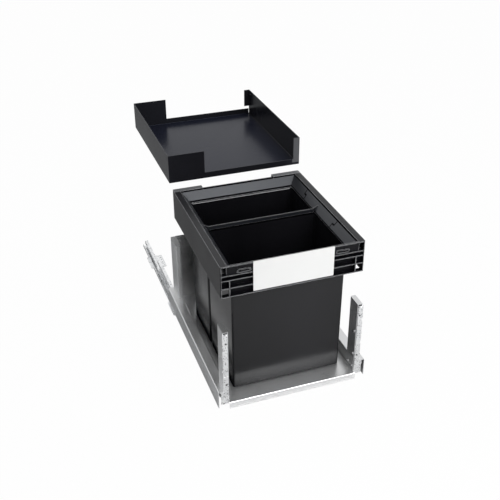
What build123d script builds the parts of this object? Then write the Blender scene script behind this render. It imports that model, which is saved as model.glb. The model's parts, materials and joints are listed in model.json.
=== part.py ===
from build123d import *
import math
import os

# Pull out bin frame: a folded steel tray on two three-member runners carries two bins, and a
# moulded frame with a sloped inlet lies on their rims. A sheet steel shelf stays in the cabinet
# above. The tray stands as far out as the photograph shows it.
# Millimetres, +X to the right, +Y into the cabinet, +Z up. The origin is the middle of the
# outer box on the cabinet's floor.

os.makedirs("parts", exist_ok=True)

# Driving sizes of the whole
overall_length = 900.0
cabinet_width = 417.0
closing_travel = 375.0
opening_reserve = 110.0
sheet = 1.5
bend = 3.0
cut_over = 2.0
seat_gap = 0.2
running_gap = 0.3

# Base tray
tray_side_gap = 3.5
tray_flange_width = 28.6
tray_depth = 518.0
tray_floor_top = 20.0
tray_flange_top = 56.0
tray_skirt_bottom = 5.0
tray_lip_bottom = 0.5
tray_wall_setback = 12.0
tray_hem_setback = 5.5
tray_hem_width = 14.0
tray_lip_bend = 2.0
tray_corner_relief = 5.0

# Posts
post_width = 14.0
post_top = 236.0
post_corner = 2.0
post_lap = 30.0
front_post_depth = 43.0
front_post_setback = 10.0
rear_post_depth = 58.0
rear_post_setback = 5.5
rear_post_leg = 55.0
rivet_radius = 2.0
rivet_head_radius = 3.6
rivet_head = 1.2
rivet_rise = 13.0
rivet_shares = (0.25, 0.75)
rivet_inset_share = 0.75

# Runners
rail_length = 500.0
rail_middle_length = 490.0
rail_front_inset = 10.5
rail_back_inset = 8.0
rail_wall = 1.2
rail_head_width = 10.0
rail_head_height = 10.0
roller_gap = 3.0
rail_lip_gap = 2.5
rail_void_width = 16.0
rail_slot = 7.0
rail_base_rise = 9.0
rail_edge_rise = 7.0
roller_radius = 1.4
roller_length = 8.0
roller_count = 6
roller_pitch = 34.0
cage_length = 200.0
cage_wall = 1.6
cage_window_gap = 0.2

# Foot plates under the runners
foot_length = 75.0
foot_width = 50.5
foot_corner = 4.0
foot_hole_radius = 2.6
foot_hole_inset = 8.0
foot_hole_spacing = 40.0
front_foot_place = -1.0
rear_foot_place = 284.0

# Front panel brackets and their adjusters
bracket_bottom = 12.0
bracket_top = 232.0
bracket_web_width = 13.5
bracket_foot_width = 20.0
bracket_foot_top = 52.0
bracket_flange_depth = 25.0
bracket_flange_bottom = 62.0
bracket_flange_gap = 0.8
panel_hole_radius = 2.5
panel_hole_spacing = 128.0
panel_hole_low = 74.0
mark_hole_radius = 1.7
mark_hole_rise = 27.0
mark_hole_spacing = 7.0
bracket_notch = 2.5
bracket_notch_height = 8.0
bracket_notch_low = 114.6
bracket_notch_spacing = 72.9
height_travel = 2.0
adjuster_setback = 10.0
height_adjuster_level = 73.0
tilt_adjuster_level = 146.0
adjuster_head_radius = 4.5
adjuster_head = 1.5
adjuster_shank_radius = 3.0
adjuster_pin_radius = 2.0
adjuster_fit = 0.06
height_cam_radius = 4.2
height_cam_offset = 2.0
height_cam_play = 0.5
tilt_cam_radius = 3.4
tilt_cam_offset = 1.2
drive_slot = 1.0
drive_depth = 0.7
fixing_screw_low = 112.0
fixing_screw_spacing = 48.0
fixing_screw_setback = 4.5
fixing_screw_radius = 2.0
fixing_head_radius = 3.4
fixing_head = 2.1

# Bins
bin_side_gap = 35.5
bin_wall = 2.2
bin_corner = 7.0
bin_foot_round = 3.0
bin_rim_width = 4.2
bin_rim = 2.4
bin_rim_lip = 7.0
bin_lip = 1.5
bin_base_rise = 2.0
bin_base_border = 14.0
front_bin_length = 206.4
rear_bin_play = 1.3
bin_gap = 1.0
bin_draft = 5.0

# Bin frame
frame_side_gap = 17.5
frame_depth = 437.0
frame_setback = 19.5
frame_bottom = 330.0
frame_top = 417.0
frame_wall = 2.5
frame_rim = 17.5
frame_front_rim = 5.0
frame_leg = 2.0
frame_ledge_top = 391.0
frame_ledge = 2.0
frame_ledge_inset = 37.5
frame_ledge_front = 32.0
frame_ledge_back = 45.5
frame_back_tab = 83.0
frame_back_notch = 8.0
frame_corner = 3.0
frame_front_wall_place = 12.0
frame_rib = 2.0
frame_upper_rib_drop = 39.0
frame_middle_rib_drop = 61.0
frame_lower_rib_drop = 85.0
frame_end_rib_inset = 23.0
frame_under_rib_count = 6
slot_length = 30.0
slot_height = 6.5
slot_ring = 3.0
slot_ring_out = 1.6
slot_inset = 59.5
slot_drop = 19.5

# Sloped inlet pieces
funnel_groove = 2.5
funnel_top = 413.0
funnel_edge = 0.6
funnel_side = 2.0
funnel_side_run = 17.5
funnel_end_run = 20.0
funnel_lip = 1.0
funnel_foot = 4.2
seam_front_inset = 121.0
seam_back_inset = 120.0
seam_step = 12.0
seam_gap = 1.0
crossbar_width = 13.0
crossbar_rise = 8.0
crossbar_horn = 16.0
crossbar_horn_width = 10.0
crossbar_wall = 2.4

# White plate on the frame's front
plate_inset = 82.5
plate_height = 82.0
plate_thickness = 2.0
plate_gap = 0.3
plate_peg_radius = 3.0
plate_peg_inset = 30.0
plate_peg_drop = 50.0

# Top shelf
shelf_side_gap = 15.0
shelf_depth = 435.5
shelf_bottom = 432.0
shelf_height = 82.5
shelf_lip = 18.5
shelf_left_flange = 103.0
shelf_right_flange = 18.0
shelf_flange_gap = 9.0
shelf_relief = 1.6
shelf_hole_radius = 2.5
shelf_hole_inset = 12.0

# Places worked out from the sizes above
tray_front = -overall_length / 2
tray_back = tray_front + tray_depth
tray_width = cabinet_width - 2 * tray_side_gap
tray_inner_width = tray_width - 2 * tray_flange_width
frame_width = tray_width - 2 * frame_side_gap
frame_ledge_inner_width = frame_width - 2 * frame_ledge_inset
frame_back_notch_width = frame_width - 2 * frame_back_tab
bin_width = frame_width - 2 * bin_side_gap
plate_width = frame_width - 2 * plate_inset
plate_peg_spacing = plate_width - 2 * plate_peg_inset
shelf_width = cabinet_width - 2 * shelf_side_gap
fixing_screw_levels = (fixing_screw_low, fixing_screw_low + fixing_screw_spacing)
bracket_notch_levels = (bracket_notch_low, bracket_notch_low + bracket_notch_spacing)
frame_rib_drops = (frame_upper_rib_drop, frame_middle_rib_drop, frame_lower_rib_drop)
frame_under_rib_pitch = (frame_depth - 2 * sheet) / (frame_under_rib_count + 1)
tray_side = tray_width / 2
wall_face = tray_inner_width / 2
hollow_inner = wall_face + sheet
hollow_outer = tray_side - sheet
wall_front = tray_front + tray_wall_setback
hem_front = tray_front + tray_hem_setback
runner_x = (hollow_inner + hollow_outer) / 2
flange_under = tray_flange_top - sheet
closed_front = tray_front + closing_travel
rail_front = closed_front + rail_front_inset
rail_back = rail_front + rail_length
rail_bottom = sheet
low_head_bottom = rail_bottom + sheet + rail_base_rise
low_head_top = low_head_bottom + rail_head_height
low_void_bottom = low_head_bottom - rail_lip_gap
low_void_top = low_head_top + roller_gap
high_void_top = flange_under - sheet
high_head_top = high_void_top - roller_gap
high_head_bottom = high_head_top - rail_head_height
high_void_bottom = high_head_bottom - rail_lip_gap
middle_top_wall = low_void_top + rail_wall
middle_back = rail_back - closing_travel / 2
middle_front = middle_back - rail_middle_length
drawer_rail_back = tray_back - rail_back_inset
drawer_rail_front = drawer_rail_back - rail_length
low_cage_middle = (rail_front + middle_back - opening_reserve / 2) / 2
high_cage_middle = (middle_front + drawer_rail_back) / 2
front_post_front = tray_front + front_post_setback
rear_post_back = tray_back - rear_post_setback
post_inner = wall_face - sheet
leg_foot = tray_floor_top + seat_gap
post_outer = post_inner + post_width
shelf_back = overall_length / 2
shelf_front = shelf_back - shelf_depth
shelf_top = shelf_bottom + shelf_height
frame_front = tray_front + frame_setback
frame_back = frame_front + frame_depth
frame_side = frame_width / 2
slot_place = frame_side - slot_inset
leg_side = frame_side - frame_rim
leg_front = frame_front + frame_front_rim
leg_back = frame_back - frame_rim
ledge_front = frame_front + frame_ledge_front
ledge_back = frame_back - frame_ledge_back
bin_edge = bin_rim_width + bin_wall
rear_bin_length = ledge_back - ledge_front + 2 * bin_edge - bin_gap - front_bin_length - rear_bin_play
bin_top = frame_ledge_top - frame_ledge - running_gap
bin_bottom = tray_floor_top + seat_gap
bin_rim_front = ledge_front - bin_edge
bin_slope = math.degrees(math.atan(bin_draft / 2 / (bin_top - bin_bottom)))
plate_bottom = frame_top - plate_height
foot_outer = cabinet_width / 2
foot_inner = foot_outer - foot_width


def across(place):
    """A sketch plane square to Y; its sketch is seen from the front, X right and Z up."""
    return Plane.XZ.offset(-place)


def along(place):
    """A sketch plane square to X; its sketch has Y to the right and Z up."""
    return Plane.YZ.offset(place)


def keep_side(side):
    """Turns the right-hand piece being built into the left-hand one."""
    if side == "left":
        mirror(about=Plane.YZ, mode=Mode.REPLACE)


def finish(builder, name):
    """Labels a finished piece and writes its file."""
    builder.part.label = name
    export_step(builder.part, f"parts/{name}.step")


def folded(points, radius, side):
    """The section of a sheet whose seen face follows the points, bent at each corner."""
    with BuildLine() as run:
        FilletPolyline(*points, radius=radius)
        offset(amount=sheet, side=side)
    make_face(run.edges())


# Base tray
with BuildPart() as base_tray:
    with BuildSketch(across(wall_front)):
        folded(
            [
                (-tray_side, tray_skirt_bottom),
                (-tray_side, tray_flange_top),
                (-wall_face, tray_flange_top),
                (-wall_face, tray_floor_top),
                (wall_face, tray_floor_top),
                (wall_face, tray_flange_top),
                (tray_side, tray_flange_top),
                (tray_side, tray_skirt_bottom),
            ],
            bend,
            Side.RIGHT,
        )
    extrude(amount=-(tray_back - wall_front))
    # The skirts reach a little further forward than the walls
    for hand in (-1, 1):
        with BuildSketch(across(hem_front)):
            folded(
                [
                    (hand * tray_side, tray_skirt_bottom),
                    (hand * tray_side, tray_flange_top),
                    (hand * (tray_side - tray_hem_width), tray_flange_top),
                ],
                bend,
                Side.RIGHT if hand < 0 else Side.LEFT,
            )
        extrude(amount=-(wall_front - hem_front))
    # Front lip, turned down, and rear upstand
    with BuildSketch(along(-wall_face)):
        folded(
            [
                (wall_front, tray_floor_top),
                (tray_front, tray_floor_top),
                (tray_front, tray_lip_bottom),
            ],
            tray_lip_bend,
            Side.LEFT,
        )
    extrude(amount=tray_inner_width)
    with BuildSketch(along(-wall_face + tray_corner_relief)):
        folded(
            [
                (tray_back - tray_wall_setback, tray_floor_top),
                (tray_back - sheet, tray_floor_top),
                (tray_back - sheet, tray_flange_top),
            ],
            bend,
            Side.RIGHT,
        )
    extrude(amount=tray_inner_width - 2 * tray_corner_relief)
    # Rivet holes for the posts
    rivet_level = tray_floor_top + rivet_rise
    front_rivets = [front_post_front + front_post_depth * share for share in rivet_shares]
    rear_rivets = [rear_post_back - rear_post_depth * share for share in rivet_shares]
    with BuildSketch(along(0)):
        with Locations(*[(place, rivet_level) for place in front_rivets + rear_rivets]):
            Circle(rivet_radius)
    extrude(amount=tray_side - sheet - cut_over, both=True, mode=Mode.SUBTRACT)
finish(base_tray, "base_tray")


def post(front, back, leg):
    """A folded post on the tray's flange, closed at its back, whose inner cheek laps the tray's wall."""
    points = [(post_inner, front), (post_inner, back), (post_outer, back), (post_outer, front)]
    if leg:
        points.insert(0, (post_inner - leg, front))
    with BuildSketch(Plane.XY.offset(tray_flange_top)) as outline:
        folded(points, post_corner, Side.RIGHT if back > front else Side.LEFT)
    extrude(outline.sketch, amount=post_top - tray_flange_top)
    with BuildSketch(Plane.XY.offset(post_top)) as cap:
        with Locations((post_inner + post_width / 2, (front + back) / 2)):
            RectangleRounded(post_width, abs(back - front), post_corner)
    extrude(cap.sketch, amount=-sheet)
    with BuildSketch(along(post_inner)) as lap:
        with Locations(((front + back) / 2, tray_flange_top - post_lap / 2)):
            Rectangle(abs(back - front) - 2 * post_corner, post_lap + 2 * cut_over)
    extrude(lap.sketch, amount=sheet)


for side in ("left", "right"):
    with BuildPart() as front_post:
        post(front_post_front, front_post_front + front_post_depth, 0)
        with BuildSketch(along(0)):
            with Locations(*[(place, rivet_level) for place in front_rivets]):
                Circle(rivet_radius)
            for level in (height_adjuster_level, tilt_adjuster_level):
                with Locations((front_post_front + adjuster_setback, level)):
                    Circle(adjuster_shank_radius + adjuster_fit)
        extrude(amount=post_inner + 2 * cut_over, mode=Mode.SUBTRACT)
        with BuildSketch(along(post_outer - 2 * sheet)):
            for level in (height_adjuster_level, tilt_adjuster_level):
                with Locations((front_post_front + adjuster_setback, level)):
                    Circle(adjuster_pin_radius + adjuster_fit)
            for level in fixing_screw_levels:
                with Locations((front_post_front + fixing_screw_setback, level)):
                    Circle(fixing_screw_radius)
        extrude(amount=3 * sheet, mode=Mode.SUBTRACT)
        keep_side(side)
    finish(front_post, f"{side}_front_post")

    with BuildPart() as rear_post:
        post(rear_post_back, rear_post_back - rear_post_depth, rear_post_leg)
        # The leg goes on down to the tray's floor
        with BuildSketch(across(rear_post_back)):
            with Locations((post_inner - post_corner, leg_foot)):
                Rectangle(
                    rear_post_leg - post_corner,
                    tray_flange_top - leg_foot + cut_over,
                    align=(Align.MAX, Align.MIN),
                )
        extrude(amount=-sheet)
        with BuildSketch(along(0)):
            with Locations(*[(place, rivet_level) for place in rear_rivets]):
                Circle(rivet_radius)
        extrude(amount=post_inner + 2 * cut_over, mode=Mode.SUBTRACT)
        keep_side(side)
    finish(rear_post, f"{side}_rear_post")

# Rivets through the posts' cheeks and the tray's walls
with BuildPart() as post_rivets:
    for hand in (-1, 1):
        with BuildSketch(along(hand * post_inner)):
            with Locations(*[(place, rivet_level) for place in front_rivets + rear_rivets]):
                Circle(rivet_radius)
        extrude(amount=hand * 2 * sheet)
        with BuildSketch(along(hand * post_inner)):
            with Locations(*[(place, rivet_level) for place in front_rivets + rear_rivets]):
                Circle(rivet_head_radius)
        extrude(amount=-hand * rivet_head, taper=30)
finish(post_rivets, "post_rivets")


def block(left, right, bottom, top):
    """A rectangle from its four edges, in the open sketch."""
    with Locations(((left + right) / 2, (bottom + top) / 2)):
        Rectangle(right - left, top - bottom)


def rail_head(bottom, top):
    """The hollow running head on top of a rail's web."""
    half = rail_head_width / 2
    block(runner_x - half, runner_x + half, bottom, top)
    with Locations((runner_x, (bottom + top) / 2)):
        Rectangle(rail_head_width - 2 * rail_wall, top - bottom - 2 * rail_wall, mode=Mode.SUBTRACT)


def rail_cover(bottom, top, wall, top_wall):
    """The channel of a rail that wraps round the head below it."""
    half = rail_void_width / 2
    block(runner_x - half - wall, runner_x + half + wall, bottom - wall, top + top_wall)
    with Locations((runner_x, (bottom + top) / 2)):
        Rectangle(rail_void_width, top - bottom, mode=Mode.SUBTRACT)
    with Locations((runner_x, bottom - wall / 2)):
        Rectangle(rail_slot, wall, mode=Mode.SUBTRACT)


def rail_web(bottom, top):
    """The upright web that carries a rail's head."""
    block(runner_x - sheet / 2, runner_x + sheet / 2, bottom, top)


# Runner members and their roller cages
rail_rivet_x = runner_x - rail_head_width * rivet_inset_share
rail_rivet_run = [
    place + foot_length * share
    for place in (front_foot_place, rear_foot_place)
    for share in rivet_shares
]
for side in ("left", "right"):
    with BuildPart() as cabinet_rail:
        with BuildSketch(across(rail_front)):
            base_left = runner_x - rail_head_width
            base_right = hollow_outer - running_gap
            block(base_left, base_right, rail_bottom, rail_bottom + sheet)
            block(base_right - sheet, base_right, rail_bottom, rail_bottom + sheet + rail_edge_rise)
            rail_web(rail_bottom + sheet, low_head_bottom)
            rail_head(low_head_bottom, low_head_top)
        extrude(amount=-rail_length)
        with BuildSketch(Plane.XY.offset(rail_bottom)):
            with Locations(*[(rail_rivet_x, place) for place in rail_rivet_run]):
                Circle(rivet_radius)
        extrude(amount=sheet, mode=Mode.SUBTRACT)
        keep_side(side)
    finish(cabinet_rail, f"{side}_cabinet_rail")

    with BuildPart() as middle_rail:
        with BuildSketch(across(middle_front)):
            rail_cover(low_void_bottom, low_void_top, rail_wall, rail_wall)
            rail_web(middle_top_wall, high_head_bottom)
            rail_head(high_head_bottom, high_head_top)
        extrude(amount=-rail_middle_length)
        keep_side(side)
    finish(middle_rail, f"{side}_middle_rail")

    with BuildPart() as drawer_rail:
        with BuildSketch(across(drawer_rail_front)):
            rail_cover(high_void_bottom, high_void_top, rail_wall, sheet)
        extrude(amount=-rail_length)
        keep_side(side)
    finish(drawer_rail, f"{side}_drawer_rail")

    for stage, head_top, middle in (
        ("lower", low_head_top, low_cage_middle),
        ("upper", high_head_top, high_cage_middle),
    ):
        roller_level = head_top + roller_gap / 2
        roller_run = [middle + (turn - (roller_count - 1) / 2) * roller_pitch for turn in range(roller_count)]
        with BuildPart() as cage:
            with BuildSketch(across(middle - cage_length / 2)):
                half = rail_head_width / 2 + (roller_gap + cage_wall) / 2
                leg_bottom = head_top - rail_head_height / 2
                block(runner_x - half, runner_x + half, leg_bottom, roller_level + cage_wall / 2)
                with Locations((runner_x, (leg_bottom + roller_level - cage_wall) / 2)):
                    Rectangle(
                        2 * (half - cage_wall),
                        roller_level - leg_bottom,
                        mode=Mode.SUBTRACT,
                    )
            extrude(amount=-cage_length)
            with BuildSketch(Plane.XY.offset(head_top)):
                with Locations(*[(runner_x, place) for place in roller_run]):
                    Rectangle(
                        roller_length + 2 * cage_window_gap,
                        2 * (roller_radius + cage_window_gap),
                    )
            extrude(amount=roller_gap, mode=Mode.SUBTRACT)
            keep_side(side)
        finish(cage, f"{side}_{stage}_cage")

        with BuildPart() as rollers:
            with BuildSketch(along(runner_x - roller_length / 2)):
                with Locations(*[(place, roller_level) for place in roller_run]):
                    Circle(roller_radius)
            extrude(amount=roller_length)
            keep_side(side)
        finish(rollers, f"{side}_{stage}_rollers")

    # Foot plates: screwed to the cabinet floor, riveted under the rail
    with BuildPart() as rail_feet:
        for place in (front_foot_place, rear_foot_place):
            with BuildSketch(Plane.XY):
                with Locations(((foot_inner + foot_outer) / 2, place + foot_length / 2)):
                    RectangleRounded(foot_width, foot_length, foot_corner)
                with Locations((foot_inner + foot_hole_inset, place + foot_length / 2)):
                    with GridLocations(0, foot_hole_spacing, 1, 2):
                        Circle(foot_hole_radius, mode=Mode.SUBTRACT)
                with Locations(*[(rail_rivet_x, place + foot_length * share) for share in rivet_shares]):
                    Circle(rivet_radius, mode=Mode.SUBTRACT)
            extrude(amount=sheet)
        keep_side(side)
    finish(rail_feet, f"{side}_rail_feet")

# Rivets that hold each rail on its feet
with BuildPart() as rail_rivets:
    rivet_places = [(hand * rail_rivet_x, place) for hand in (-1, 1) for place in rail_rivet_run]
    with BuildSketch(Plane.XY):
        with Locations(*rivet_places):
            Circle(rivet_radius)
    extrude(amount=rail_bottom + sheet)
    with BuildSketch(Plane.XY.offset(rail_bottom + sheet)):
        with Locations(*rivet_places):
            Circle(rivet_head_radius - rivet_head / 2)
    extrude(amount=rivet_head)
finish(rail_rivets, "rail_rivets")

# Front panel brackets
flange_left = post_inner + sheet + bracket_flange_gap
flange_right = post_outer - sheet - bracket_flange_gap
cheek_middle = (flange_left + flange_right) / 2
adjuster_place = front_post_front + adjuster_setback
for side in ("left", "right"):
    with BuildPart() as front_bracket:
        web_left = wall_face + seat_gap * 3
        web_back = front_post_front - seat_gap * 2
        with BuildSketch(across(web_back - sheet)):
            block(web_left, web_left + bracket_web_width, bracket_bottom, bracket_top)
            block(web_left, web_left + bracket_foot_width, bracket_bottom, bracket_foot_top)
            for level in bracket_notch_levels:
                with Locations((web_left + bracket_web_width, level)):
                    Rectangle(2 * bracket_notch, bracket_notch_height, mode=Mode.SUBTRACT)
        extrude(amount=-sheet)
        # Two cheeks that slide inside the post
        for cheek_left in (flange_left, flange_right - sheet):
            with BuildSketch(along(cheek_left)):
                block(
                    web_back - sheet,
                    web_back + bracket_flange_depth,
                    bracket_flange_bottom,
                    bracket_top - 2 * sheet,
                )
            extrude(amount=sheet)
        # Panel screw holes and pairs of small pilot holes in the web, between the cheeks
        with BuildSketch(across(web_back - sheet)):
            for level in (panel_hole_low, panel_hole_low + panel_hole_spacing):
                with Locations((cheek_middle, level)):
                    Circle(panel_hole_radius)
                with Locations((cheek_middle, level + mark_hole_rise)):
                    with GridLocations(mark_hole_spacing, 0, 2, 1):
                        Circle(mark_hole_radius)
        extrude(amount=-sheet, mode=Mode.SUBTRACT)
        with BuildSketch(along(flange_left - sheet)):
            with Locations((adjuster_place + height_cam_offset / 2, height_adjuster_level)):
                Rectangle(
                    2 * (height_cam_radius + height_cam_play) + height_cam_offset,
                    2 * (height_cam_radius + height_cam_play),
                )
            with Locations((adjuster_place, tilt_adjuster_level)):
                Circle(tilt_cam_radius + tilt_cam_offset + height_travel + running_gap)
        extrude(amount=3 * sheet, mode=Mode.SUBTRACT)
        with BuildSketch(along(flange_right - 2 * sheet)):
            for level in (height_adjuster_level, tilt_adjuster_level):
                with Locations((adjuster_place, level)):
                    Circle(adjuster_pin_radius + height_travel + height_cam_play)
            for level in fixing_screw_levels:
                with Locations((front_post_front + fixing_screw_setback, level)):
                    SlotOverall(
                        2 * (fixing_screw_radius + height_travel + height_cam_play),
                        2 * (fixing_screw_radius + running_gap),
                        rotation=90,
                    )
        extrude(amount=3 * sheet, mode=Mode.SUBTRACT)
        keep_side(side)
    finish(front_bracket, f"{side}_front_bracket")

    for kind, level, cam_radius, cam_offset in (
        ("height", height_adjuster_level, height_cam_radius, (height_cam_offset, 0)),
        ("tilt", tilt_adjuster_level, tilt_cam_radius, (0, tilt_cam_offset)),
    ):
        with BuildPart() as adjuster:
            centre = (adjuster_place, level)
            head_face = post_inner - seat_gap - adjuster_head
            with BuildSketch(along(head_face)):
                with Locations(centre):
                    Circle(adjuster_head_radius)
            extrude(amount=adjuster_head)
            with BuildSketch(along(head_face + adjuster_head)):
                with Locations(centre):
                    Circle(adjuster_shank_radius)
            extrude(amount=flange_left - seat_gap - head_face - adjuster_head)
            with BuildSketch(along(flange_left - seat_gap)):
                with Locations((centre[0] + cam_offset[0], centre[1] + cam_offset[1])):
                    Circle(cam_radius)
            extrude(amount=sheet + 2 * seat_gap)
            with BuildSketch(along(flange_left + sheet + seat_gap)):
                with Locations(centre):
                    Circle(adjuster_pin_radius)
            extrude(amount=post_outer - flange_left - sheet - seat_gap)
            with BuildSketch(along(head_face)):
                with Locations(centre):
                    Rectangle(2 * adjuster_head_radius - drive_slot, drive_slot)
                    Rectangle(drive_slot, 2 * adjuster_head_radius - drive_slot)
            extrude(amount=drive_depth, mode=Mode.SUBTRACT)
            keep_side(side)
        finish(adjuster, f"{side}_{kind}_adjuster")

# Screws that clamp the brackets in the posts
with BuildPart() as bracket_screws:
    for hand in (-1, 1):
        places = [(front_post_front + fixing_screw_setback, level) for level in fixing_screw_levels]
        with BuildSketch(along(hand * post_outer)):
            with Locations(*places):
                Circle(fixing_head_radius)
        extrude(amount=hand * fixing_head, taper=15)
        with BuildSketch(along(hand * post_outer)):
            with Locations(*places):
                Circle(fixing_screw_radius)
        extrude(amount=-hand * (post_outer - flange_right + 2 * sheet))
finish(bracket_screws, "bracket_screws")


def tub(inset, bottom, middle, length, foot_round):
    """A drafted block with round corners and a rounded foot, inset from the bin's outside."""
    with BuildPart() as form:
        with BuildSketch(Plane.XY.offset(bin_top)):
            with Locations((0, middle)):
                RectangleRounded(bin_width - 2 * inset, length - 2 * inset, bin_corner - inset)
        extrude(amount=-(bin_top - bottom), taper=bin_slope)
        fillet(form.faces().sort_by(Axis.Z)[0].edges(), radius=foot_round)
    return form.part


# Bins
for name, rim_front, rim_length in (
    ("front_bin", bin_rim_front, front_bin_length),
    ("rear_bin", bin_rim_front + front_bin_length + bin_gap, rear_bin_length),
):
    middle = rim_front + rim_length / 2
    length = rim_length - 2 * bin_rim_width
    rim_width = bin_width + 2 * bin_rim_width
    outside = tub(0, bin_bottom, middle, length, bin_foot_round)
    inside = tub(bin_wall, bin_bottom + bin_wall, middle, length, bin_foot_round - bin_wall)
    with BuildPart() as waste_bin:
        add(outside)
        # Rolled rim with a lip turned down
        with BuildSketch(Plane.XY.offset(bin_top)):
            with Locations((0, middle)):
                RectangleRounded(rim_width, rim_length, bin_corner + bin_rim_width)
        extrude(amount=-bin_rim)
        with BuildSketch(Plane.XY.offset(bin_top)):
            with Locations((0, middle)):
                RectangleRounded(rim_width, rim_length, bin_corner + bin_rim_width)
                RectangleRounded(
                    rim_width - 2 * bin_lip,
                    rim_length - 2 * bin_lip,
                    bin_corner + bin_rim_width - bin_lip,
                    mode=Mode.SUBTRACT,
                )
        extrude(amount=-bin_rim_lip)
        add(inside, mode=Mode.SUBTRACT)
        # Raised middle of the base
        with BuildSketch(Plane.XY.offset(bin_bottom + bin_wall)):
            with Locations((0, middle)):
                RectangleRounded(
                    bin_width - bin_draft - 2 * bin_base_border,
                    length - bin_draft - 2 * bin_base_border,
                    bin_corner,
                )
        extrude(amount=bin_base_rise)
        with BuildSketch(Plane.XY.offset(bin_bottom)):
            with Locations((0, middle)):
                RectangleRounded(
                    bin_width - bin_draft - 2 * (bin_base_border + bin_wall),
                    length - bin_draft - 2 * (bin_base_border + bin_wall),
                    bin_corner - bin_wall,
                )
        extrude(amount=bin_base_rise, mode=Mode.SUBTRACT)
    finish(waste_bin, name)

# Bin frame
with BuildPart() as bin_frame:
    middle = (frame_front + frame_back) / 2
    # Skirt
    with BuildSketch(Plane.XY.offset(frame_bottom)):
        with Locations((0, middle)):
            RectangleRounded(frame_width, frame_depth, frame_corner)
        with Locations((0, middle)):
            Rectangle(frame_width - 2 * frame_wall, frame_depth - 2 * frame_wall, mode=Mode.SUBTRACT)
    extrude(amount=frame_top - frame_bottom)
    # Rim, inner leg and ledge round the inlet
    with BuildSketch(Plane.XY.offset(frame_top)):
        with Locations((0, middle)):
            Rectangle(frame_width - frame_wall, frame_depth - frame_wall)
        with Locations((0, (leg_front + leg_back) / 2)):
            Rectangle(2 * leg_side, leg_back - leg_front, mode=Mode.SUBTRACT)
    extrude(amount=-frame_wall)
    with BuildSketch(Plane.XY.offset(frame_ledge_top - frame_ledge)):
        with Locations((0, (leg_front + leg_back) / 2)):
            Rectangle(2 * (leg_side + frame_leg), leg_back - leg_front + 2 * frame_leg)
            Rectangle(2 * leg_side, leg_back - leg_front, mode=Mode.SUBTRACT)
    extrude(amount=frame_top - frame_ledge_top)
    with BuildSketch(Plane.XY.offset(frame_ledge_top - frame_ledge)):
        with Locations((0, (leg_front + leg_back) / 2)):
            Rectangle(2 * (leg_side + frame_leg), leg_back - leg_front + 2 * frame_leg)
        with Locations((0, (ledge_front + ledge_back) / 2)):
            RectangleRounded(
                frame_ledge_inner_width,
                ledge_back - ledge_front,
                bin_corner,
                mode=Mode.SUBTRACT,
            )
    extrude(amount=frame_ledge)
    # Ribs under the rim, between skirt and leg
    for turn in range(frame_under_rib_count):
        place = frame_front + (turn + 1) * frame_under_rib_pitch
        for hand in (-1, 1):
            with BuildSketch(across(place)):
                block(
                    min(hand * (leg_side + sheet), hand * (frame_side - sheet)),
                    max(hand * (leg_side + sheet), hand * (frame_side - sheet)),
                    frame_ledge_top,
                    frame_top - sheet,
                )
            extrude(amount=-frame_rib)
    # Ribbed front: the skirt's front wall moves back and ribs reach forward
    with BuildSketch(across(frame_front - cut_over)):
        block(
            -frame_side + frame_wall,
            frame_side - frame_wall,
            frame_bottom - cut_over,
            frame_ledge_top - frame_ledge,
        )
    extrude(amount=-(frame_wall + 2 * cut_over), mode=Mode.SUBTRACT)
    with BuildSketch(across(frame_front - cut_over)):
        block(
            -frame_side + frame_wall,
            frame_side - frame_wall,
            frame_ledge_top - frame_ledge,
            frame_top - frame_wall,
        )
    extrude(amount=-(frame_wall + cut_over), mode=Mode.SUBTRACT)
    with BuildSketch(across(frame_front + frame_front_wall_place)):
        block(-frame_side + sheet, frame_side - sheet, frame_bottom, frame_ledge_top)
    extrude(amount=-frame_rib)
    for drop in (frame_top - frame_ledge_top, *frame_rib_drops):
        with BuildSketch(across(frame_front)):
            block(
                -frame_side + sheet,
                frame_side - sheet,
                frame_top - drop - frame_rib,
                frame_top - drop,
            )
        extrude(amount=-(frame_front_wall_place + sheet))
    for hand in (-1, 1):
        with BuildSketch(across(frame_front)):
            end_rib_height = frame_top - frame_rib_drops[0] - frame_bottom
            with Locations((hand * (frame_side - frame_end_rib_inset), frame_bottom + end_rib_height / 2)):
                Rectangle(frame_rib, end_rib_height)
        extrude(amount=-(frame_front_wall_place + sheet))
        # The lowest end cell is open to the back
        upper, lower = frame_rib_drops[-2:]
        with BuildSketch(across(frame_front + frame_front_wall_place - sheet)):
            cell_width = frame_end_rib_inset - frame_rib / 2 - frame_wall
            cell_middle = frame_side - frame_wall - cell_width / 2
            with Locations((hand * cell_middle, frame_top - (upper + frame_rib + lower) / 2)):
                Rectangle(cell_width, lower - upper - frame_rib)
        extrude(amount=-(frame_rib + 2 * sheet), mode=Mode.SUBTRACT)
        # Oblong slot with a raised edge
        with BuildSketch(across(leg_front - frame_leg - slot_ring_out)):
            with Locations((hand * slot_place, frame_top - slot_drop)):
                SlotOverall(slot_length + 2 * slot_ring, slot_height + 2 * slot_ring)
        extrude(amount=-(slot_ring_out + frame_leg))
        with BuildSketch(across(frame_front - cut_over)):
            with Locations((hand * slot_place, frame_top - slot_drop)):
                SlotOverall(slot_length, slot_height)
        extrude(amount=-(frame_front_rim + 2 * cut_over), mode=Mode.SUBTRACT)
    # Pocket for the front plate
    with BuildSketch(across(frame_front - cut_over)):
        block(
            -plate_width / 2 - plate_gap,
            plate_width / 2 + plate_gap,
            plate_bottom - plate_gap,
            frame_top + cut_over,
        )
    extrude(amount=-(cut_over + plate_thickness + plate_gap), mode=Mode.SUBTRACT)
    with BuildSketch(across(frame_front)):
        with Locations((0, frame_top - plate_peg_drop)):
            with GridLocations(plate_peg_spacing, 0, 2, 1):
                Circle(plate_peg_radius)
    extrude(amount=-(frame_front_wall_place + 2 * frame_rib), mode=Mode.SUBTRACT)
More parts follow.
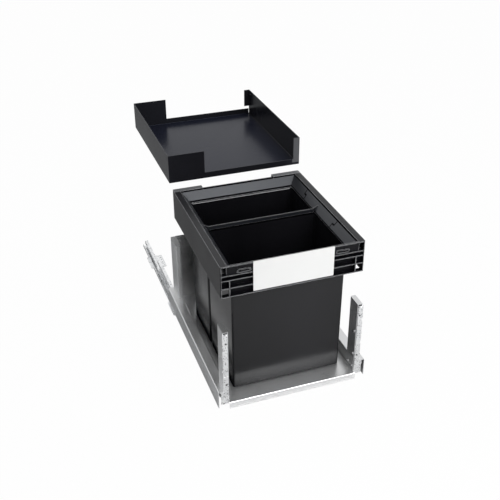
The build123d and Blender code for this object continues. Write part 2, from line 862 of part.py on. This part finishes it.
    # Notch in the back rim
    with BuildSketch(across(leg_back)):
        block(
            -frame_back_notch_width / 2,
            frame_back_notch_width / 2,
            frame_top - frame_back_notch,
            frame_top + cut_over,
        )
    extrude(amount=-(frame_rim + cut_over), mode=Mode.SUBTRACT)
finish(bin_frame, "bin_frame")

# Sloped inlet: one ring of four slopes, cut into four pieces at stepped seams
slope_side = leg_side - funnel_groove
slope_front = leg_front + funnel_groove
slope_back = leg_back - funnel_groove
slope_length = slope_back - slope_front
slope_middle = (slope_front + slope_back) / 2


def inlet_level(level, side_inset, end_inset):
    """One level of the inlet, inset from its top edge."""
    with BuildSketch(Plane.XY.offset(level)) as outline:
        with Locations((0, slope_middle)):
            Rectangle(2 * (slope_side - side_inset), slope_length - 2 * end_inset)
    return outline.sketch


with BuildPart() as inlet:
    under_side = funnel_side_run - funnel_foot
    under_end = funnel_end_run - funnel_foot
    loft([
        inlet_level(frame_ledge_top, under_side, under_end),
        inlet_level(funnel_top - funnel_side, 0, 0),
    ])
    extrude(inlet_level(funnel_top - funnel_side, 0, 0), amount=funnel_side)
    loft(
        [
            inlet_level(frame_ledge_top + funnel_lip, funnel_side_run, funnel_end_run),
            inlet_level(funnel_top, funnel_edge, funnel_edge),
        ],
        mode=Mode.SUBTRACT,
    )
    extrude(
        inlet_level(frame_ledge_top, funnel_side_run, funnel_end_run),
        amount=funnel_lip,
        mode=Mode.SUBTRACT,
    )

seam_side = slope_side - funnel_side_run / 2


def seam(place, step, hand):
    """The points of a stepped seam across one side slope, from the outside in."""
    outside = hand * (frame_side + cut_over)
    inside = hand * (slope_side - funnel_side_run - cut_over)
    return [
        (outside, place),
        (hand * seam_side, place),
        (hand * seam_side, place + step),
        (inside, place + step),
    ]


front_seam = frame_front + seam_front_inset
back_seam = frame_front + frame_depth - seam_back_inset
half_seam = seam_gap / 2
for name, from_end, place, step in (
    ("front_funnel", frame_front - cut_over, front_seam - half_seam, seam_step),
    ("back_funnel", frame_back + cut_over, back_seam + half_seam, -seam_step),
):
    with BuildPart() as end_piece:
        add(inlet.part)
        with BuildSketch(Plane.XY.offset(frame_ledge_top)):
            with BuildLine():
                Polyline(
                    (-frame_side - cut_over, from_end),
                    *seam(place, step, -1),
                    *reversed(seam(place, step, 1)),
                    (frame_side + cut_over, from_end),
                    close=True,
                )
            make_face()
        extrude(amount=frame_top - frame_ledge_top, mode=Mode.INTERSECT)
    finish(end_piece, name)
for side, hand in (("left", -1), ("right", 1)):
    with BuildPart() as strip:
        add(inlet.part)
        with BuildSketch(Plane.XY.offset(frame_ledge_top)):
            with BuildLine():
                Polyline(
                    *seam(front_seam + half_seam, seam_step, hand),
                    *reversed(seam(back_seam - half_seam, -seam_step, hand)),
                    close=True,
                )
            make_face()
        extrude(amount=frame_top - frame_ledge_top, mode=Mode.INTERSECT)
    finish(strip, f"{side}_funnel_strip")

# Crossbar over the gap between the bins, its ends standing on the side slopes
def slope_half(level):
    """Half the width between the side slopes at a level."""
    climb = (level - frame_ledge_top - funnel_lip) / (funnel_top - frame_ledge_top - funnel_lip)
    return slope_side - funnel_side_run + (funnel_side_run - funnel_edge) * climb


bar_front = bin_rim_front + front_bin_length + (bin_gap - crossbar_width) / 2
bar_foot = bin_top + running_gap
bar_toe = frame_ledge_top + funnel_lip
bar_top = frame_ledge_top + crossbar_rise
horn_top = frame_ledge_top + crossbar_horn
horn_foot = slope_half(bar_top) - crossbar_horn_width
with BuildPart() as inlet_crossbar:
    with BuildSketch(across(bar_front)):
        with BuildLine():
            Polyline(
                (-slope_half(bar_toe), bar_foot),
                (-slope_half(bar_toe), bar_toe),
                (-slope_half(horn_top), horn_top),
                (-horn_foot, bar_top),
                (horn_foot, bar_top),
                (slope_half(horn_top), horn_top),
                (slope_half(bar_toe), bar_toe),
                (slope_half(bar_toe), bar_foot),
                close=True,
            )
        make_face()
    extrude(amount=-crossbar_width)
    with BuildSketch(Plane.XY.offset(bar_foot)):
        with Locations((0, bar_front + crossbar_width / 2)):
            Rectangle(
                2 * (slope_half(bar_toe) - crossbar_wall),
                crossbar_width - 2 * crossbar_wall,
            )
    extrude(amount=bar_top - bar_foot - crossbar_wall, mode=Mode.SUBTRACT)
finish(inlet_crossbar, "inlet_crossbar")

# Plain front plate with two pegs at its back
with BuildPart() as front_plate:
    with BuildSketch(across(frame_front)):
        with Locations((0, plate_bottom + plate_height / 2)):
            RectangleRounded(plate_width, plate_height, plate_thickness / 2)
    extrude(amount=-plate_thickness)
    with BuildSketch(across(frame_front + plate_thickness)):
        with Locations((0, frame_top - plate_peg_drop)):
            with GridLocations(plate_peg_spacing, 0, 2, 1):
                Circle(plate_peg_radius - adjuster_fit)
    extrude(amount=-(frame_front_wall_place + frame_rib))
finish(front_plate, "front_plate")

shelf_middle = (shelf_front + shelf_back) / 2


def pan(inset, radius):
    """A block with a rounded foot, inset from the shelf's outside."""
    with BuildPart() as form:
        with BuildSketch(Plane.XY.offset(shelf_bottom + inset)):
            with Locations((0, shelf_middle)):
                Rectangle(shelf_width - 2 * inset, shelf_depth - 2 * inset)
        extrude(amount=shelf_height - inset)
        fillet(form.faces().sort_by(Axis.Z)[0].edges(), radius=radius)
    return form.part


# Top shelf
shelf_outside = pan(0, bend)
shelf_inside = pan(sheet, bend - sheet)
with BuildPart() as top_shelf:
    add(shelf_outside)
    add(shelf_inside, mode=Mode.SUBTRACT)
    # The front and back stand full height only beside the walls
    with BuildSketch(across(shelf_front - cut_over)):
        block(
            -shelf_width / 2 + shelf_left_flange,
            shelf_width / 2 - shelf_right_flange,
            shelf_bottom + shelf_lip,
            shelf_top + cut_over,
        )
    extrude(amount=-(shelf_depth + 2 * cut_over), mode=Mode.SUBTRACT)
    # The narrow rear flange stops short of the low lip, with a relief slit at the corner
    inner_corner = shelf_width / 2 - sheet
    with BuildSketch(across(shelf_back - 2 * sheet)):
        block(
            shelf_width / 2 - shelf_right_flange - sheet,
            inner_corner,
            shelf_bottom + shelf_lip,
            shelf_bottom + shelf_lip + shelf_flange_gap,
        )
        block(
            inner_corner - shelf_relief,
            inner_corner,
            shelf_bottom + 2 * sheet,
            shelf_bottom + shelf_lip + sheet,
        )
    extrude(amount=-(3 * sheet), mode=Mode.SUBTRACT)
    # Screw holes in the side walls
    with BuildSketch(along(0)):
        for place in (shelf_front + shelf_hole_inset, shelf_back - shelf_hole_inset):
            with Locations((place, shelf_top - shelf_hole_inset)):
                Circle(shelf_hole_radius)
    extrude(amount=shelf_width, both=True, mode=Mode.SUBTRACT)
finish(top_shelf, "top_shelf")
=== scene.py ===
import bmesh
import bpy
import json
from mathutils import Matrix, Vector


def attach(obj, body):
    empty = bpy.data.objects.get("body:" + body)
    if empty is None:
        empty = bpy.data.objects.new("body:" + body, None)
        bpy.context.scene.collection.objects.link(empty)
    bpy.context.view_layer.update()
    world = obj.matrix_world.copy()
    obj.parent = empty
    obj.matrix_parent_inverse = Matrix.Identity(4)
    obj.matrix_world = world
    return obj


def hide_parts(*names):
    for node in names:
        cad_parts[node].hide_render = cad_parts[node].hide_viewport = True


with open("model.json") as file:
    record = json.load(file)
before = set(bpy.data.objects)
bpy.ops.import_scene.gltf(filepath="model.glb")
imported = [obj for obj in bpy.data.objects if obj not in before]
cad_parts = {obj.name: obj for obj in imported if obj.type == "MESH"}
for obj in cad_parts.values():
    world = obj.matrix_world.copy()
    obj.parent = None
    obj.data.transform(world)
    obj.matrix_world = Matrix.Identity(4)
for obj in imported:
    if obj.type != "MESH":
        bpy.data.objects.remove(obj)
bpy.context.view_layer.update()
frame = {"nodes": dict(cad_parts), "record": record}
nodes = frame["nodes"]


# Places on the object, in metres, where a piece gets painted light or shade in its colour. X runs
# across, Y from the front to the back and Z up. A box that reaches to far is open on that side.
far = 1.0

# The tray's front lip, painted near white as a highlight
lip_back = -0.4485

# The seams between the inlet's strips: place along and step of each, and where across they step
seams = ((-0.3095, 0.012), (-0.1135, -0.012))
seam_side = 0.15875
# half the width of the painted shadow line along each seam
seam_half_width = 0.0013

# The foot of the inlet's slopes, painted black as shade
slope_foot = 0.3934

# The bins' rims, painted black as the shade under the inlet, and a painted highlight line on the
# rear bin's back wall
rim_level = 0.3882
rim_shadow_level = rim_level - 0.0015
glint_level = rim_level - 0.0022
glint_half_width = 0.144
glint_front, glint_back = -0.0425, -0.0396

# The shelf's floor with a painted bluish reflection, and its flange at the right of the front,
# lighter with a painted highlight
shelf_floor_level = 0.4345
shelf_floor_half_width = 0.187
flange_left, flange_right = 0.1725, 0.1936
flange_back = 0.0164
flange_foot = 0.44

# The tops of the frame's two back tabs, painted lighter where they catch the light: dim on top,
# and a brighter painted highlight behind tab_front
tab_front = -0.0130
tab_level = 0.4160

# Colours that more than one material uses; black is the colour of painted shade
black = (0.0015, 0.0015, 0.002)
white = (1.0, 1.0, 1.0)

# What one noise runs between, what the sum of two does, and the part of it that makes specks
noise_span = (0.3, 0.7)
noise_sum_span = (0.7, 1.3)
plating_span = (0.75, 1.25)
speck_span = (0.60, 0.64)
speck_share = 0.9
speck_darkness = 0.15

# Edges, where highlights are painted: how far the rounded normal agrees with the flat one, how
# open an outward edge is, and within how many times its radius
edge_agreement = (0.82, 0.995)
edge_openness = (0.70, 0.95)
edge_reach = 3
steel_edge_radius = 0.0012

# Crevices: how open the place is where gloss is gone, and where it is whole
crevice_openness = (0.35, 0.75)
steel_crevice = 0.012

mask_samples = 6
grain_height = 0.0002

# The Mix node's sockets for two colours and the mixed one
mix_first, mix_second, mix_result = 6, 7, 2


def new_material(name):
    material = bpy.data.materials.new(name)
    material.use_nodes = True
    tree = material.node_tree
    return material, tree, tree.nodes["Principled BSDF"]


def math_node(tree, operation, *values):
    """The operation on numbers and sockets."""
    node = tree.nodes.new("ShaderNodeMath")
    node.operation = operation
    for place, value in enumerate(values):
        if isinstance(value, (int, float)):
            node.inputs[place].default_value = value
        else:
            tree.links.new(value, node.inputs[place])
    return node.outputs["Value"]


def mix_shaders(tree, share, first, second):
    """The first shader, going over to the second one by the share."""
    mix = tree.nodes.new("ShaderNodeMixShader")
    tree.links.new(share, mix.inputs["Fac"])
    tree.links.new(first, mix.inputs[1])
    tree.links.new(second, mix.inputs[2])
    return mix.outputs["Shader"]


def noise(tree, scale, detail, roughness=0.55, stretch=(1.0, 1.0, 1.0)):
    """Noise in the object's own metres, drawn out along an axis where stretch is small."""
    place = tree.nodes.new("ShaderNodeTexCoord")
    spread = tree.nodes.new("ShaderNodeMapping")
    spread.inputs["Scale"].default_value = stretch
    grain = tree.nodes.new("ShaderNodeTexNoise")
    grain.inputs["Scale"].default_value = scale
    grain.inputs["Detail"].default_value = detail
    grain.inputs["Roughness"].default_value = roughness
    tree.links.new(place.outputs["Object"], spread.inputs["Vector"])
    tree.links.new(spread.outputs["Vector"], grain.inputs["Vector"])
    return grain.outputs["Fac"]


def remap(tree, value, span, result):
    """The value, taken from one range to another and held within it."""
    ranged = tree.nodes.new("ShaderNodeMapRange")
    ranged.inputs["From Min"].default_value, ranged.inputs["From Max"].default_value = span
    ranged.inputs["To Min"].default_value, ranged.inputs["To Max"].default_value = result
    tree.links.new(value, ranged.inputs["Value"])
    return ranged.outputs["Result"]


def tint(tree, value, span, dark, light):
    """The dark colour where the value is low in its range, the light one where it is high."""
    ramp = tree.nodes.new("ShaderNodeValToRGB")
    for stop, place, colour in zip(ramp.color_ramp.elements, span, (dark, light)):
        stop.position = place
        stop.color = (*colour, 1)
    tree.links.new(value, ramp.inputs["Fac"])
    return ramp.outputs["Color"]


def painted(tree, colour, mask, other, share=1.0):
    """The colour, going over to the other one by a share of the mask."""
    blend = tree.nodes.new("ShaderNodeMix")
    blend.data_type = "RGBA"
    tree.links.new(math_node(tree, "MULTIPLY", mask, share), blend.inputs["Factor"])
    tree.links.new(colour, blend.inputs[mix_first])
    blend.inputs[mix_second].default_value = (*other, 1)
    return blend.outputs[mix_result]


def without(tree, value, mask):
    """The value, gone to nought inside the mask."""
    return math_node(tree, "MULTIPLY", value, math_node(tree, "SUBTRACT", 1.0, mask))


def bump(tree, shader, height, strength):
    lift = tree.nodes.new("ShaderNodeBump")
    lift.inputs["Strength"].default_value = strength
    lift.inputs["Distance"].default_value = grain_height
    tree.links.new(height, lift.inputs["Height"])
    tree.links.new(lift.outputs["Normal"], shader.inputs["Normal"])


def openness(tree, reach, span, result, only_local=False):
    """How open the surroundings are within reach, taken from its range to the result's."""
    opened = tree.nodes.new("ShaderNodeAmbientOcclusion")
    opened.samples = mask_samples
    opened.only_local = only_local
    opened.inputs["Distance"].default_value = reach
    return remap(tree, opened.outputs["AO"], span, result)


def edge_mask(tree, radius):
    """One along outward edges, where a rounded normal departs from the flat one."""
    place = tree.nodes.new("ShaderNodeNewGeometry")
    rounded = tree.nodes.new("ShaderNodeBevel")
    rounded.samples = mask_samples
    rounded.inputs["Radius"].default_value = radius
    agree = tree.nodes.new("ShaderNodeVectorMath")
    agree.operation = "DOT_PRODUCT"
    tree.links.new(place.outputs["Normal"], agree.inputs[0])
    tree.links.new(rounded.outputs["Normal"], agree.inputs[1])
    edges = remap(tree, agree.outputs["Value"], edge_agreement, (1.0, 0.0))
    outward = openness(tree, edge_reach * radius, edge_openness, (0.0, 1.0), only_local=True)
    return math_node(tree, "MULTIPLY", edges, outward)


def crevice_gloss(tree, specular, reach):
    """The gloss, fading out where walls close in: they reflect each other, not the studio."""
    return openness(tree, reach, crevice_openness, (0.0, specular))


def object_axes(tree):
    place = tree.nodes.new("ShaderNodeTexCoord")
    axes = tree.nodes.new("ShaderNodeSeparateXYZ")
    tree.links.new(place.outputs["Object"], axes.inputs["Vector"])
    return [axes.outputs[name] for name in "XYZ"]


def box_mask(tree, low, high):
    """One inside a box of the object's own metres."""
    inside = None
    for value, least, most in zip(object_axes(tree), low, high):
        within = math_node(tree, "COMPARE", value, (least + most) / 2, (most - least) / 2)
        inside = within if inside is None else math_node(tree, "MULTIPLY", inside, within)
    return inside


def with_painted_light(tree, tone, painted_lights):
    """The tone with each painted light's or shade's colour inside its box."""
    for low, high, colour in painted_lights:
        tone = painted(tree, tone, box_mask(tree, low, high), colour)
    return tone


def seam_lines(tree):
    """One along the stepped joints between the inlet's strips, which are dark shadow lines."""
    across, along, _ = object_axes(tree)
    across = math_node(tree, "ABSOLUTE", across)
    outer = math_node(tree, "GREATER_THAN", across, seam_side)
    lines = None
    for place, step in seams:
        course = math_node(tree, "MULTIPLY_ADD", outer, -step, place + step)
        run = math_node(tree, "COMPARE", along, course, seam_half_width)
        turn = math_node(
            tree, "MULTIPLY",
            math_node(tree, "COMPARE", across, seam_side, seam_half_width),
            math_node(tree, "COMPARE", along, place + step / 2, abs(step) / 2),
        )
        both = math_node(tree, "MAXIMUM", run, turn)
        lines = both if lines is None else math_node(tree, "MAXIMUM", lines, both)
    return lines


def coated_steel(
    name, dark, light, metallic, rough, specular, edge, edge_highlight_share, painted_lights, reflection=white
):
    """Coated sheet: a fine grain, a slow change of tone, uneven gloss and painted highlights
    along folds and edges.
    """
    material, tree, shader = new_material(name)
    slow = noise(tree, scale=7, detail=3)
    fine = noise(tree, scale=1400, detail=2, roughness=0.7)
    tone = with_painted_light(tree, tint(tree, slow, noise_span, dark, light), painted_lights)
    # painted highlight along outward edges and folds
    tone = painted(tree, tone, edge_mask(tree, steel_edge_radius), edge, edge_highlight_share)
    roughness = remap(tree, math_node(tree, "ADD", slow, fine), noise_sum_span, rough)
    gloss = crevice_gloss(tree, specular, steel_crevice)
    tree.links.new(tone, shader.inputs["Base Color"])
    tree.links.new(roughness, shader.inputs["Roughness"])
    tree.links.new(gloss, shader.inputs["Specular IOR Level"])
    shader.inputs["Metallic"].default_value = metallic
    shader.inputs["Specular Tint"].default_value = (*reflection, 1)
    bump(tree, shader, fine, strength=0.25)
    return material


def plated_steel(name, dark, light, rough, stretch=(1.0, 0.03, 1.0), scale=900):
    """Zinc plate with drawn lines, soft blotches and darker specks."""
    material, tree, shader = new_material(name)
    lines = noise(tree, scale, detail=4, roughness=0.6, stretch=stretch)
    blotch = noise(tree, scale=60, detail=4, roughness=0.6)
    mottle = math_node(tree, "ADD", lines, blotch)
    specks = remap(tree, noise(tree, scale=260, detail=2, roughness=0.5), speck_span, (0.0, 1.0))
    speck_colour = tuple(speck_darkness * value for value in dark)
    tone = tint(tree, mottle, plating_span, dark, light)
    tone = painted(tree, tone, specks, speck_colour, speck_share)
    tree.links.new(tone, shader.inputs["Base Color"])
    tree.links.new(remap(tree, mottle, noise_sum_span, rough), shader.inputs["Roughness"])
    shader.inputs["Metallic"].default_value = 1.0
    bump(tree, shader, lines, strength=0.2)
    return material


def moulded_plastic(
    name, dark, light, rough, specular, edge, edge_highlight_share, edge_radius, grain,
    grain_scale=2200, stretch=(1.0, 1.0, 1.0), crevice=0.02, reflection=white,
    painted_lights=(), shade=None, glints=(), seamed=False
):
    """Moulded plastic: a spark-eroded grain, flow marks, uneven gloss and painted highlights
    along edges.

    It is painted black as shade, without gloss, inside the shade's box and, if seamed, along the
    seams as painted shadow lines.
    """
    material, tree, shader = new_material(name)
    slow = noise(tree, scale=5, detail=3, roughness=0.5, stretch=stretch)
    fine = noise(tree, grain_scale, detail=2, roughness=0.6)
    tone = with_painted_light(tree, tint(tree, slow, noise_span, dark, light), painted_lights)
    # painted highlight along outward edges
    tone = painted(tree, tone, edge_mask(tree, edge_radius), edge, edge_highlight_share)
    gloss = crevice_gloss(tree, specular, crevice)
    if shade is not None:
        shaded = box_mask(tree, *shade)
        tone = painted(tree, tone, shaded, black)
        gloss = without(tree, gloss, shaded)
    tone = with_painted_light(tree, tone, glints)
    if seamed:
        lines = seam_lines(tree)
        tone = painted(tree, tone, lines, black)
        gloss = without(tree, gloss, lines)
    tree.links.new(tone, shader.inputs["Base Color"])
    tree.links.new(gloss, shader.inputs["Specular IOR Level"])
    tree.links.new(remap(tree, slow, noise_span, rough), shader.inputs["Roughness"])
    shader.inputs["Specular Tint"].default_value = (*reflection, 1)
    bump(tree, shader, fine, strength=grain)
    return material


# Materials: one for each of the record's slots, and one for the crossbar that is shown
recipes = {
    "tray_coating": (coated_steel, {
        "dark": (0.60, 0.605, 0.61), "light": (0.68, 0.685, 0.69),
        "metallic": 0.85, "rough": (0.26, 0.34), "specular": 0.5,
        "edge": (0.85, 0.86, 0.88), "edge_highlight_share": 0.9,
        # painted highlight: the front lip near white
        "painted_lights": [((-far, -far, -far), (far, lip_back, far), (0.96, 0.96, 0.96))],
    }),
    "shelf_coating": (coated_steel, {
        "dark": (0.010, 0.010, 0.012), "light": (0.013, 0.013, 0.016),
        "metallic": 0.0, "rough": (0.20, 0.28), "specular": 0.15,
        "edge": (0.10, 0.102, 0.115), "edge_highlight_share": 0.8, "reflection": (0.7, 0.78, 1.0),
        "painted_lights": [
            # painted reflection: the floor tinted bluish
            (
                (-shelf_floor_half_width, -far, 0),
                (shelf_floor_half_width, far, shelf_floor_level),
                (0.010, 0.0112, 0.0195),
            ),
            # painted highlight: the right flange lighter
            (
                (flange_left, -far, flange_foot),
                (flange_right, flange_back, far),
                (0.105, 0.106, 0.11),
            ),
        ],
    }),
    "runner_zinc": (plated_steel, {
        "dark": (0.60, 0.61, 0.62), "light": (0.84, 0.85, 0.86), "rough": (0.22, 0.34),
    }),
    "bracket_zinc": (plated_steel, {
        "dark": (0.84, 0.85, 0.86), "light": (0.97, 0.975, 0.98), "rough": (0.22, 0.4),
        "stretch": (1, 1, 0.1), "scale": 500,
    }),
    "fastener_steel": (plated_steel, {
        "dark": (0.40, 0.40, 0.41), "light": (0.66, 0.66, 0.67), "rough": (0.22, 0.32),
        "stretch": (1, 1, 1), "scale": 1200,
    }),
    "roller_steel": (plated_steel, {
        "dark": (0.55, 0.55, 0.56), "light": (0.75, 0.75, 0.76), "rough": (0.15, 0.2),
        "stretch": (0.1, 1, 1), "scale": 1500,
    }),
    "cage_plastic": (moulded_plastic, {
        "dark": (0.66, 0.67, 0.66), "light": (0.74, 0.75, 0.74),
        "rough": (0.45, 0.55), "specular": 0.5, "grain": 0.1,
        "edge": (0.8, 0.8, 0.8), "edge_highlight_share": 0.3, "edge_radius": 0.0005,
    }),
    "bin_plastic": (moulded_plastic, {
        "dark": (0.005, 0.005, 0.006), "light": (0.009, 0.009, 0.011),
        "rough": (0.16, 0.24), "specular": 0.41, "crevice": 0.10,
        "grain": 0.12, "grain_scale": 2600, "stretch": (1, 1, 0.15),
        "edge": (0.10, 0.102, 0.106), "edge_highlight_share": 0.8, "edge_radius": 0.0012,
        # painted shade: the rims black, without gloss
        "shade": ((-far, -far, rim_shadow_level), (far, far, far)),
        # painted highlight: a light line along the rear bin's back wall
        "glints": [(
            (-glint_half_width, glint_front, glint_level),
            (glint_half_width, glint_back, rim_level),
            (0.45, 0.45, 0.46),
        )],
    }),
    "frame_plastic": (moulded_plastic, {
        "dark": (0.003, 0.003, 0.004), "light": (0.005, 0.005, 0.0065),
        "rough": (0.26, 0.34), "specular": 0.14, "grain": 0.2,
        "edge": (0.58, 0.585, 0.60), "edge_highlight_share": 1.0, "edge_radius": 0.0014,
        # painted light: the tab tops dim, and brighter behind tab_front
        "painted_lights": [
            ((-far, -far, tab_level), (far, far, far), (0.020, 0.020, 0.022)),
            ((-far, tab_front, tab_level), (far, far, far), (0.17, 0.172, 0.178)),
        ],
    }),
    "inlet_plastic": (moulded_plastic, {
        "dark": (0.010, 0.011, 0.014), "light": (0.015, 0.016, 0.019),
        "rough": (0.28, 0.36), "specular": 0.62, "grain": 0.18,
        "edge": (0.06, 0.06, 0.065), "edge_highlight_share": 0.8, "edge_radius": 0.0010,
        "reflection": (0.92, 0.95, 1.0), "seamed": True,
        # painted shade: black, without gloss, below the slopes' foot
        "shade": ((-far, -far, 0), (far, far, slope_foot)),
    }),
    "bar_plastic": (moulded_plastic, {
        "dark": (0.010, 0.011, 0.014), "light": (0.015, 0.016, 0.019),
        "rough": (0.28, 0.36), "specular": 0.3, "grain": 0.18,
        "edge": (0.34, 0.342, 0.35), "edge_highlight_share": 1.0, "edge_radius": 0.0010,
    }),
    "plate_plastic": (moulded_plastic, {
        "dark": (0.76, 0.76, 0.75), "light": (0.80, 0.80, 0.79),
        "rough": (0.28, 0.36), "specular": 0.4, "grain": 0.05,
        "edge": (0.9, 0.9, 0.9), "edge_highlight_share": 0.3, "edge_radius": 0.0005,
    }),
}
materials = {name: make(name, **recipe) for name, (make, recipe) in recipes.items()}
slot_of = {part["node"]: part["material_slot"] for part in frame["record"]["subparts"]}
for name, piece in nodes.items():
    piece.data.materials.clear()
    piece.data.materials.append(materials[slot_of[name]])


# The inlet's crossbar, seen as the slim web it is: the same outline as the CAD piece, less deep
bar_middle = -0.198
bar_half_depth = 0.0018
bar_foot, bar_ledge, bar_top, bar_tip = 0.3890, 0.3920, 0.3990, 0.4070
bar_half_width, bar_top_half_width, bar_tip_half_width = 0.1500, 0.1456, 0.1621
bar_outline = (
    (-bar_half_width, bar_ledge), (-bar_half_width, bar_foot),
    (bar_half_width, bar_foot), (bar_half_width, bar_ledge),
    (bar_tip_half_width, bar_tip), (bar_top_half_width, bar_top),
    (-bar_top_half_width, bar_top), (-bar_tip_half_width, bar_tip),
)


def slim_bar():
    shape = bmesh.new()
    front, back = (
        [shape.verts.new((across, bar_middle + depth, level)) for across, level in bar_outline]
        for depth in (-bar_half_depth, bar_half_depth)
    )
    shape.faces.new(front)
    shape.faces.new(list(reversed(back)))
    for first in range(len(bar_outline)):
        second = (first + 1) % len(bar_outline)
        shape.faces.new((front[second], front[first], back[first], back[second]))
    bmesh.ops.recalc_face_normals(shape, faces=shape.faces)
    mesh = bpy.data.meshes.new("inlet_crossbar_seen")
    shape.to_mesh(mesh)
    shape.free()
    return bpy.data.objects.new("inlet_crossbar_seen", mesh)


bar = slim_bar()
bar.data.materials.append(materials["bar_plastic"])
bpy.context.scene.collection.objects.link(bar)
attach(bar, "frame")
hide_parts("inlet_crossbar")


# Floor: pale, and near white where the camera sees it
floor_reach, floor_level = 9, -0.0005
floor_glow_share = 0.98
floor_corners = ((-1, -1), (1, -1), (1, 1), (-1, 1))
floor_mesh = bpy.data.meshes.new("floor")
floor_mesh.from_pydata(
    [(floor_reach * x, floor_reach * y, floor_level) for x, y in floor_corners],
    [], [(0, 1, 2, 3)]
)
floor = bpy.data.objects.new("floor", floor_mesh)
bpy.context.scene.collection.objects.link(floor)
floor_paint, floor_tree, floor_shader = new_material("floor_paint")
floor_shader.inputs["Roughness"].default_value = 0.9
floor_shader.inputs["Specular IOR Level"].default_value = 0.1
floor_tone = tint(
    floor_tree, noise(floor_tree, scale=3, detail=3), noise_span,
    dark=(0.62, 0.62, 0.62), light=(0.64, 0.64, 0.64)
)
floor_tree.links.new(floor_tone, floor_shader.inputs["Base Color"])
floor_glow = floor_tree.nodes.new("ShaderNodeEmission")
floor_glow.inputs["Color"].default_value = (*white, 1)
floor_rays = floor_tree.nodes.new("ShaderNodeLightPath").outputs
floor_surface = mix_shaders(
    floor_tree, math_node(floor_tree, "MULTIPLY", floor_rays["Is Camera Ray"], floor_glow_share),
    floor_shader.outputs["BSDF"], floor_glow.outputs["Emission"]
)
floor_output = floor_tree.nodes["Material Output"]
floor_tree.links.new(floor_surface, floor_output.inputs["Surface"])
floor.data.materials.append(floor_paint)


# World: white where it is seen, also in gloss, and a weak light on everything else
world = bpy.data.worlds.new("studio")
bpy.context.scene.world = world
world.use_nodes = True
sky = world.node_tree
sky.nodes.clear()


def background(colour, strength):
    node = sky.nodes.new("ShaderNodeBackground")
    node.inputs["Color"].default_value = (*colour, 1)
    node.inputs["Strength"].default_value = strength
    return node.outputs["Background"]


rays = sky.nodes.new("ShaderNodeLightPath").outputs
seen = math_node(sky, "MAXIMUM", rays["Is Camera Ray"], rays["Is Transmission Ray"])
seen = math_node(sky, "MAXIMUM", seen, rays["Is Glossy Ray"])
sky_surface = mix_shaders(
    sky, seen,
    background(colour=(0.95, 0.97, 1), strength=0.26), background(colour=white, strength=1.0)
)
sky_output = sky.nodes.new("ShaderNodeOutputWorld")
sky.links.new(sky_surface, sky_output.inputs["Surface"])


# Softboxes: name, place, what they aim at, width and height, watts
object_middle = (0, -0.1, 0.25)
softboxes = (
    ("top_softbox", (0.1, 0.0, 2.6), object_middle, (2.2, 1.8), 20),
    ("left_softbox", (-2.6, -0.9, 1.2), object_middle, (1.6, 1.8), 1),
    ("front_softbox", (0.5, -2.8, 0.9), object_middle, (2.6, 1.2), 15),
    ("front_floor_softbox", (0.3, -1.7, 1.1), (0.3, -1.5, 0), (1.8, 0.9), 16),
    ("front_top_softbox", (0.56, -1.72, 2.13), (0, -0.05, 0.4), (0.8, 0.8), 14),
)
for name, place, aim, size, power in softboxes:
    lamp = bpy.data.lights.new(name, "AREA")
    lamp.shape = "RECTANGLE"
    lamp.size, lamp.size_y = size
    lamp.energy = power
    holder = bpy.data.objects.new(name, lamp)
    holder.location = place
    holder.rotation_euler = (Vector(aim) - Vector(place)).to_track_quat("-Z", "Y").to_euler()
    bpy.context.scene.collection.objects.link(holder)


# Camera at the photograph's place
camera_data = bpy.data.cameras.new("camera")
camera_data.sensor_width = 36
camera_data.lens = 56.93
camera_data.clip_start = 0.05
camera_data.clip_end = 50
camera = bpy.data.objects.new("camera", camera_data)
camera.location = (-0.6351, -1.9245, 1.3881)
camera.rotation_euler = (1.0362142, 0.00386632, -0.33817877)
bpy.context.scene.collection.objects.link(camera)
bpy.context.scene.camera = camera
bpy.context.scene.view_settings.view_transform = "Standard"
